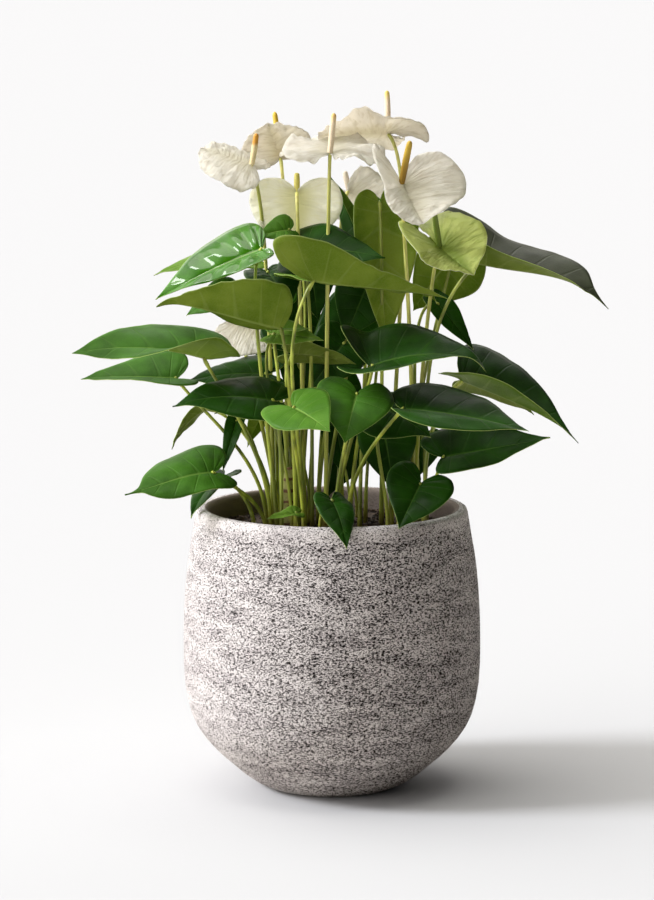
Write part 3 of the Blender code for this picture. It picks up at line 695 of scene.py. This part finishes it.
def hanging_leaf(number, base, tip, width, foot, face=(0.0, -0.95, 0.2), fold=12, radius=1.6):
    """A small leaf that hangs from the top of an upright stalk."""
    inner_leaf(number, base, tip, face, width, foot, arch=(3, 3), fold=fold, knee=(0.3, -0.9),
               radius=radius)


inner_leaf(31, (-54, 37, 470), (8, 47, 452), (0.0, -0.85, 0.5), (30, 34), (-30, 25), fold=8)
inner_leaf(32, (30, 28, 476), (-24, 22, 430), (0.1, -0.9, 0.4), 34, (18, 8))
inner_leaf(33, (34, 24, 502), (12, 16, 450), (0.2, -0.9, 0.35), 30, (28, -4), fold=16)
inner_leaf(34, (12, 8, 448), (-22, 4, 402), (0.1, -0.9, 0.4), 30, (-8, -6), fold=10)
inner_leaf(35, (106, 24, 486), (142, 14, 440), (0.2, -0.85, 0.45), 14, (88, 22), fold=24)
inner_leaf(36, (-96, 23, 368), (-110, 3, 318), (-0.2, -0.9, 0.3), 10, (-62, 3), arch=(3, 3), fold=30,
           radius=1.5)
inner_leaf(37, (-70, 46, 372), (-86, 40, 338), (-0.2, 0.8, 0.4), 11, (-50, 34), arch=(3, 3), fold=30,
           tone="fresh", radius=1.5)
inner_leaf(38, (-52, 59, 378), (-64, 53, 336), (-0.1, -0.9, 0.3), (20, 16), (-44, 53), arch=(3, 3), fold=20,
           radius=1.6)
inner_leaf(39, (-70, 7, 386), (-118, -3, 378), (0.0, -0.5, 0.85), (26, 24), (-46, -5), arch=(8, 6), fold=10)
inner_leaf(40, (-104, 60, 492), (-148, 60, 470), (-0.1, -0.7, 0.65), (18, 22), (-56, 30), arch=(5, 4),
           fold=14, tone="mid", radius=1.7)
inner_leaf(41, (-58, -40, 462), (-8, -52, 457), (0.0, -0.7, 0.7), (18, 14), (-40, -18), arch=(4, 3),
           fold=14, tone="fresh", radius=1.7)
inner_leaf(42, (-42, -3, 562), (-74, -15, 556), (0.0, -0.8, 0.6), (14, 18), (-34, -5), arch=(4, 3), fold=14,
           tone="spring", radius=1.7)
inner_leaf(43, (46, 40, 570), (38, 26, 600), (-0.3, -0.9, 0.2), 24, (34, 26), arch=(6, 4), fold=20,
           tone="fresh", knee=(-0.2, 1.0), radius=1.8)
hanging_leaf(44, (4, 30, 362), (14, 24, 306), 17, (20, 14), face=(0.1, -0.95, 0.2), fold=14)
inner_leaf(45, (-50, 48, 500), (-96, 38, 488), (0.0, -0.7, 0.7), (24, 26), (-40, 40), arch=(6, 4), fold=10,
           tone="mid")
hanging_leaf(46, (92, 42, 348), (78, 28, 300), 22, (84, 42), face=(0.0, -0.95, 0.3), fold=14, radius=1.7)
inner_leaf(47, (-26, 10, 452), (-40, -6, 434), (0.0, -0.6, 0.8), 12, (-24, 12), arch=(3, 3), fold=30,
           tone="spring", radius=1.4)
hanging_leaf(48, (-22, 44, 526), (-14, 34, 468), 26, (-30, 34), radius=1.8)
inner_leaf(49, (-36, 54, 448), (-82, 48, 424), (0.0, -0.8, 0.5), (18, 20), (-34, 52), fold=10, radius=1.7)
inner_leaf(52, (-38, -15, 440), (24, -3, 428), (0.1, 0.75, 0.6), (16, 18), (-20, 3), tone="slate",
           radius=1.7)
hanging_leaf(53, (-34, 52, 420), (-6, 48, 352), 20, (-38, 48), radius=1.7)
hanging_leaf(54, (10, 56, 400), (24, 52, 338), 19, (4, 52), radius=1.7)
hanging_leaf(55, (-46, 56, 346), (-58, 52, 296), 16, (-44, 56), face=(-0.1, -0.95, 0.2), fold=14)
hanging_leaf(56, (66, 10, 350), (58, 0, 290), 16, (70, 14), fold=14)
hanging_leaf(57, (24, 66, 342), (-4, 60, 284), 22, (26, 62))
inner_leaf(58, (-35, -62, 287), (-64, -74, 283), (-0.1, -0.5, 0.85), (8, 9), (-33, -54), arch=(2, 2),
           fold=14, reach=0.1, tone="fresh", radius=1.4)


# ---------------------------------------------------------------- flowers
# Each has a stem, a waxy spathe with sunken veins and a puckered margin, and a spadix packed with tiny
# florets. Spathes are white; those that sit in shade are painted a darker cream, as painted shade, and one
# in shade is painted near white, as painted light; the youngest is still green and its spadix dark.

SPATHE_OUTLINE = [(-0.06, 0.04, 0.0), (-0.17, 0.20, 0.0), (-0.25, 0.50, 0.0), (-0.17, 0.85, 0.0),
                  (0.10, 1.04, 0.08), (0.38, 0.97, 0.20), (0.64, 0.72, 0.40), (0.84, 0.36, 0.66),
                  (0.95, 0.09, 0.86), (1.0, 0.0, 1.0)]
BLUNT_OUTLINE = [(-0.06, 0.04, 0.0), (-0.17, 0.20, 0.0), (-0.25, 0.50, 0.0), (-0.17, 0.85, 0.0),
                 (0.10, 1.04, 0.08), (0.38, 1.02, 0.20), (0.66, 0.84, 0.40), (0.87, 0.54, 0.64),
                 (0.98, 0.20, 0.86), (1.0, 0.0, 1.0)]
SPATHE_THICKNESS = 0.6
SPATHE_ROWS = 72
SPATHE_COLUMNS = 12
PLEATS = (39.0, 6.5)  # pleats 6 mm wide and 12 mm long, on a spathe 250 mm round and 80 mm across
STEM_RADIUS = 2.3
STEM_STOP = -0.4      # a stem stops just short of its spathe
STEM_KNEE = 0.9
SPADIX_RINGS = 64
SPADIX_SIDES = 22


def spathe_skin(name, face, vein, heart, rough=0.42):
    """Spathe tissue: soft and waxy, tinted towards its heart, with fine veins and pleats that run in
    from the margin. It is thin enough to glow with the light behind it."""
    made, node = skin(name)
    along, crossing, share, near = marks(node, 0.2)
    side = node("MapRange", [near, 0.015, 0.07, 1.0, 0.0], **SMOOTH)
    fade = node("MapRange", [share, 0.85, 1.0, 1.0, 0.0], **SMOOTH)
    side = node("Math", [side, fade], operation="MULTIPLY")
    pleats = node("CombineXYZ", [node("Math", [along, PLEATS[0]], operation="MULTIPLY"),
                                 node("Math", [crossing, PLEATS[1]], operation="MULTIPLY")])
    pleats = node("TexNoise", {"Vector": pleats, "Scale": 1.0, "Detail": 3.0})
    place = node("TexCoord", out="Object")
    blush = node("TexNoise", {"Vector": place, "Scale": every(22), "Detail": 3.0})
    inner = node("MapRange", [share, 0.05, 0.55, 0.75, 0.0], **SMOOTH)
    tone = node("Mix", {0: inner, 6: face, 7: heart}, **COLOUR)
    for line in (node("Math", [side, 0.22], operation="MULTIPLY"),
                 node("MapRange", [pleats, 0.52, 0.66, 0.0, 0.4], **SMOOTH),
                 node("MapRange", [blush, 0.5, 0.75, 0.0, 0.25], **SMOOTH)):
        tone = node("Mix", {0: line, 6: tone, 7: vein}, **COLOUR)
    ripple = node("TexNoise", {"Vector": place, "Scale": every(6.67), "Detail": 3.0, "Roughness": 0.6})
    height = node("Math", [ripple, 0.8], operation="MULTIPLY")
    height = node("Math", [side, -0.25, height], operation="MULTIPLY_ADD")
    height = node("Math", [pleats, 3.0, height], operation="MULTIPLY_ADD")
    shader = node("BsdfPrincipled", {
        "Base Color": tone, "Roughness": rough, "Specular IOR Level": 0.4,
        "Normal": node("Bump", {"Height": height, "Distance": 1.1 * MM, "Strength": 1.0})})
    light_through(node, shader, tone, 0.62)
    return made


def spadix_skin(name, body, ripe, low, high):
    """Spadix: close-set florets 1.4 mm across, each with a darker outline, ripening between two heights."""
    made, node = skin(name)
    place = node("TexCoord", out="Object")
    cells = node("TexVoronoi", {"Vector": place, "Scale": every(1.389), "Randomness": 0.45}, "Distance",
                 feature="DISTANCE_TO_EDGE")
    tone = node("MapRange", [node("SeparateXYZ", [place], "Z"), low, high], **SMOOTH)
    tone = node("Mix", {0: tone, 6: body, 7: ripe}, **COLOUR)
    ring = node("MapRange", [cells, 0.0, 0.12, 0.30, 0.0], **SMOOTH)
    tone = node("Mix", {0: ring, 6: tone, 7: "#8a6a24"}, **COLOUR)
    node("OutputMaterial", {"Surface": node("BsdfPrincipled", {
        "Base Color": tone, "Roughness": 0.55,
        "Normal": node("Bump", {"Height": cells, "Distance": 0.5 * MM, "Strength": 0.8})})})
    return made


FLOWER_STEM = stem_skin("flower_stem", "#b6c04c", "#e4e28c", "#927246", "#98a044")
# white; a darker cream painted on spathes in shade, as painted shade; young green; and a near-white cream
# with a lime tint, partly painted light that stands for light through a spathe in shade
SPATHES = {
    "white": spathe_skin("spathe_white", "#f8f6f1", "#dad3c4", "#f0eddf"),
    # painted shade: a darker cream copy of the white spathe, for spathes that sit in shade
    "shade": spathe_skin("spathe_older_cream", "#efebe2", "#cdc5b0", "#e4dfcc"),
    "green": spathe_skin("spathe_young_green", "#d6e090", "#a2b654", "#90aa3c", 0.35),
    # partly painted light: a lime-tinted cream raised near white, standing in for light through a spathe in
    # shade; also the real pale margin of the young green spathe
    "lime": spathe_skin("spathe_lime_cream", "#fefef4", "#f5f4da", "#ecebc2")}


def beads(row, angle):
    """Florets in staggered rows round the spadix."""
    return 1.0 + 0.05 * math.cos(11 * angle + (row % 2) * math.pi) * math.cos(1.6 * row)


def flower(number, base, tip, face, width, foot, spadix, seat=0.8, rise=0.4, lean=(0, 0), reach=0.12,
           knee=(0.8, 0.45), tone="white", lower="#eddcae", upper="#e0a83c", ripe=(0.7, 1.0), thick=3.2,
           outline=SPATHE_OUTLINE, crumple=3.0, **shape):
    """A flower: its stem, the spathe at the stem's head and the spadix, which ends at a given place."""
    blade = Blade(base, tip, face, width, outline=outline, quilt=0.08, crumple=crumple,
                  seed=40 + number, **shape)
    bm = bmesh.new()
    sheet(bm, blade, SPATHE_THICKNESS, SPATHE_ROWS, SPATHE_COLUMNS)
    cloth = SPATHES[tone]
    edge = SPATHES["lime"] if tone == "green" else cloth
    put("anthurium_spathe_%d" % number, bm, [cloth, cloth, edge], "spathe_%d" % number, slot="spathe")
    bm = bmesh.new()
    line = stalk_points(blade, foot, STEM_STOP, rise, lean, reach, knee)
    tube(bm, line, stalk_radii(STEM_RADIUS, STEM_KNEE))
    put("anthurium_stem_%d" % number, bm, [FLOWER_STEM], "flower_stem_%d" % number, slot="flower_stem")

    # the spadix bows a little, is fullest halfway up and ends bluntly
    top = Vector(spadix)
    direction = (top - blade.base).normalized()
    lean_out = math.sqrt(1.0 - min(direction.dot(blade.normal), 1.0) ** 2)
    start = blade.base + blade.normal * (seat * 0.5 + thick * 0.7 * lean_out)
    middle = start.lerp(top, 0.5) + blade.forward * -0.02 * (top - start).length
    points = []
    radii = []
    for i in range(SPADIX_RINGS):
        u = i / (SPADIX_RINGS - 1)
        points.append(start * (1 - u) ** 2 + middle * (2 * u * (1 - u)) + top * u * u)
        radii.append(thick * (0.80 + 0.35 * math.sin(min(u * 2.2, 1.57)) - 0.38 * u)
                     * math.sqrt(max(0.0, 1.0 - max(0.0, (u - 0.9) / 0.1) ** 2) + 0.004))
    bm = bmesh.new()
    tube(bm, points, radii, SPADIX_SIDES, wobble=beads)
    span = (top.z - start.z) * MM
    florets = spadix_skin("spadix_florets_%d" % number, lower, upper,
                          *sorted(start.z * MM + span * share for share in ripe))
    put("anthurium_spadix_%d" % number, bm, [florets], "spadix_%d" % number, slot="spadix")


flower(1, (-80, 12, 625), (-132, 24, 640), (-0.1, -0.5, 0.86), (38, 42), (-60, 17), (-75, 8, 657),
       arch=(3, 6), fold=(4, -18), back=1.1, outline=BLUNT_OUTLINE, wave=(2.5, 2.2, 0.6), upper="#d99a32",
       ripe=(0.55, 0.72), crumple=5.0)
flower(2, (-52, 60, 630), (-64, 40, 664), (0.0, 0.9, 0.4), (34, 36), (-46, 21), (-58, 70, 676), arch=(2, 4),
       back=0.7, tone="shade", outline=BLUNT_OUTLINE, wave=(2.5, 2.0, 1.0), lower="#e2bf3c",
       upper="#e2bf3c", crumple=4.0)
flower(3, (-2, -10, 638), (6, 46, 656), (0.0, -0.3, 0.95), (50, 52), (-6, -9), (2, -14, 678), arch=(0, 0),
       fold=(8, 14), curl=(22, 30), back=1.7, reach=0.06, wave=(7.0, 3.6, 0.3), lower="#f0dfc4",
       upper="#e6bd6a", crumple=7.0)
flower(4, (56, 40, 655), (-14, 20, 654), (0.1, 0.70, 0.70), (34, 32), (60, 24), (55, 48, 698), arch=(2, 4),
       back=(2.0, 1.2), fold=(4, 18), tone="shade", outline=BLUNT_OUTLINE, wave=(5.5, 3.2, 2.0),
       lower="#f0dcc0", upper="#e8cf62", lobe=(-5, 0), curl=(10, 8), crumple=7.0)
flower(5, (68, -60, 611), (88, -88, 574), (-0.15, -0.85, 0.5), (60, 26), (82, 8), (75, -88, 654),
       arch=(-3, -2), fold=(6, 66), curl=40, back=(1.6, 3.6), seat=1.7, rise=0.6, wave=(2.5, 2.6, 1.0),
       lower="#8c6d12", upper="#c2a436", ripe=(0.2, 0.9), thick=3.6, outline=BLUNT_OUTLINE, crumple=4.0)
flower(6, (-35, 16, 598), (-35, 24, 540), (0.0, 0.95, 0.2), (46, 44), (-28, 14), (-35, 24, 617),
       arch=(0, 0), fold=(16, 10), reach=0.1, knee=(1.0, -0.15), tone="lime", wave=(4.5, 2.6, 0.5),
       lower="#cfc766", upper="#cfc766", crumple=5.0)
flower(7, (106, -30, 547), (139, -60, 522), (-0.1, -0.80, 0.6), (46, 36), (84, 20), (100, -54, 582),
       arch=(-4, -2), fold=(6, 50), fold_tip=(10, 40), curl=(14, 24), back=(4.2, 3.4), seat=1.7,
       tone="green", wave=(1.5, 2.4, 0.8), lower="#5f7a2a", upper="#6a8432", lobe=(-3, 0))
flower(8, (-94, 54, 466), (-56, 38, 440), (-0.1, -0.85, 0.5), 36, (-51, 13), (-101, 40, 484), arch=(0, 0),
       lean=(-14, 22), reach=0.05, wave=(3.5, 2.6, 0.8), lower="#e0bf4e", upper="#e0bf4e")
flower(9, (17, 70, 596), (48, 84, 580), (-0.1, 0.6, 0.7), 40, (10, 42), (13, 74, 616), arch=(0, 0),
       wave=(3.5, 2.6, 0.8), lower="#f2e6d8", upper="#f2e6d8", crumple=5.0)


# ---------------------------------------------------------------- crowns
# The short half-woody stems that the stalks spring from: pale olive, ringed with brown leaf scars and
# the remains of papery sheaths. The rings stand a little proud.

CROWN_RADIUS = 6.9
CROWN_RINGS = 40
CROWN_SIDES = 24
SCAR_HEIGHT = 0.35
SCAR_RATE = round(math.tau / (11.22 * MM))  # one scar every 11 mm

crown_bark, node = skin("crown_bark")
place = node("TexCoord", out="Object")
height = node("Math", [node("SeparateXYZ", [place], "Z"), SCAR_RATE], operation="MULTIPLY")
drift = node("TexNoise", {"Vector": place, "Scale": every(16.7), "Detail": 3.0})
scars = node("Math", [node("Math", [drift, 5.0, height], operation="MULTIPLY_ADD")], operation="SINE")
flakes = node("TexNoise", {"Vector": place, "Scale": every(4.17), "Detail": 3.0})
paper = node("TexNoise", {"Vector": place, "Scale": every(3.33), "Detail": 3.0})
scar = node("MapRange", [scars, 0.35, 0.9], **SMOOTH)
flake = node("MapRange", [flakes, 0.5, 0.7, 0.0, 0.5], **SMOOTH)
tone = node("Mix", {0: scar, 6: "#a9a864", 7: "#6d4a2e"}, **COLOUR)
tone = node("Mix", {0: flake, 6: tone, 7: "#53382a"}, **COLOUR)
rise = node("Math", [scars, paper], operation="ADD")
node("OutputMaterial", {"Surface": node("BsdfPrincipled", {
    "Base Color": tone, "Roughness": 0.7,
    "Normal": node("Bump", {"Height": rise, "Distance": 0.5 * MM, "Strength": 1.0})})})
for name, x, y, tall in (("crown_left", -44.0, -8.0, 62.0), ("crown_right", 72.0, 4.0, 54.0)):
    points = []
    radii = []
    for i in range(CROWN_RINGS):
        u = i / (CROWN_RINGS - 1)
        points.append(Vector((x + 2.0 * u, y + 2.0 * u * u, SOIL_TOP + STALK_GAP + tall * u)))
        ring = SCAR_HEIGHT * max(0.0, math.sin(u * 34.0)) ** 3
        radii.append(CROWN_RADIUS * (1.0 - 0.28 * u * u) + ring)
    radii[-1] *= 0.5
    radii[-2] *= 0.85
    bm = bmesh.new()
    tube(bm, points, radii, CROWN_SIDES,
         wobble=lambda row, angle: 1.0 + 0.05 * math.sin(3 * angle + row * 0.2))
    put("anthurium_" + name, bm, [crown_bark], name, slot="crown")


# ---------------------------------------------------------------- floor, light and camera
# A plain pale floor under a soft key from the left, a bright sky on the left and above, and two lamps
# that only add gloss to the leaves. What the camera sees of the world is plain white.

FLOOR_REACH = 200.0
SKY_LEFT = 2.4
SKY_ABOVE = 2.6
SKY_BEHIND = 1.0
KEY_HEIGHT = math.radians(34.0)
KEY_TURN = math.radians(8.0)
KEY_SOFTNESS = math.radians(16.0)
CAMERA_PITCH = math.radians(8.2)

mesh = bpy.data.meshes.new("floor")
mesh.from_pydata([(x * FLOOR_REACH, y * FLOOR_REACH, 0.0) for x, y in ((-1, -1), (1, -1), (1, 1), (-1, 1))],
                 [], [(0, 1, 2, 3)])
floor = bpy.data.objects.new("floor", mesh)
bpy.context.scene.collection.objects.link(floor)
pale, node = skin("pale_floor")
seen = node("LightPath", out="Is Camera Ray")
tone = node("Mix", {0: seen, 6: "#c6c2bc", 7: "#c8cacf"}, **COLOUR)
node("OutputMaterial", {"Surface": node("BsdfPrincipled", {
    "Base Color": tone, "Roughness": 1.0, "Specular IOR Level": 0.0})})
mesh.materials.append(pale)

world = bpy.data.worlds.new("studio")
bpy.context.scene.world = world
world.use_nodes = True
world.node_tree.nodes.clear()
node = functools.partial(add, world.node_tree)
sky = node("TexCoord", out="Generated")
left = node("MapRange", [node("SeparateXYZ", [sky], "X"), -0.85, 0.05, SKY_LEFT, 0.0], **SMOOTH)
above = node("MapRange", [node("SeparateXYZ", [sky], "Z"), 0.90, 0.94, 0.0, SKY_ABOVE], **SMOOTH)
behind = node("MapRange", [node("SeparateXYZ", [sky], "Y"), 0.25, 0.9, 0.0, SKY_BEHIND], **SMOOTH)
glow = node("Math", [node("Math", [left, above], operation="ADD"), behind], operation="ADD")
soft = node("Background", {"Color": "#fffaf1", "Strength": glow})
white = node("Background", {"Color": "#f9fafc", "Strength": 1.0})
both = node("MixShader", [node("LightPath", out="Is Camera Ray"), soft, white])
node("OutputWorld", {"Surface": both})


def lamp(name, kind, place, aim, **settings):
    data = bpy.data.lights.new(name, kind)
    for key, value in settings.items():
        setattr(data, key, value)
    made = bpy.data.objects.new(name, data)
    bpy.context.scene.collection.objects.link(made)
    made.location = place
    made.rotation_euler = (Vector(aim) - Vector(place)).to_track_quat("-Z", "Y").to_euler()
    return made


away = Vector((-math.cos(KEY_HEIGHT) * math.cos(KEY_TURN), -math.cos(KEY_HEIGHT) * math.sin(KEY_TURN),
               math.sin(KEY_HEIGHT)))
lamp("key", "SUN", away * 3.0, (0.0, 0.0, 0.0), energy=2.75, angle=KEY_SOFTNESS, color=(0.99, 0.99, 1.0))
for name, place, power, wide, tall in (("gloss_behind", (0.15, 1.9, 2.5), 8.0, 1.1, 0.7),
                                       ("gloss_window", (-0.62, -0.54, 2.3), 6.0, 0.5, 0.3)):
    made = lamp(name, "AREA", place, (0.0, 0.0, 0.45), energy=power, shape="RECTANGLE", size=wide,
                size_y=tall)
    made.visible_diffuse = False

view = bpy.data.cameras.new("camera")
view.sensor_width = 36.0
view.lens = 128.92
camera = bpy.data.objects.new("camera", view)
bpy.context.scene.collection.objects.link(camera)
camera.location = (-0.005, -3.2, 0.802)
camera.rotation_euler = (math.pi / 2 - CAMERA_PITCH, 0.0, 0.0)
bpy.context.scene.camera = camera
bpy.context.scene.view_settings.view_transform = "Standard"
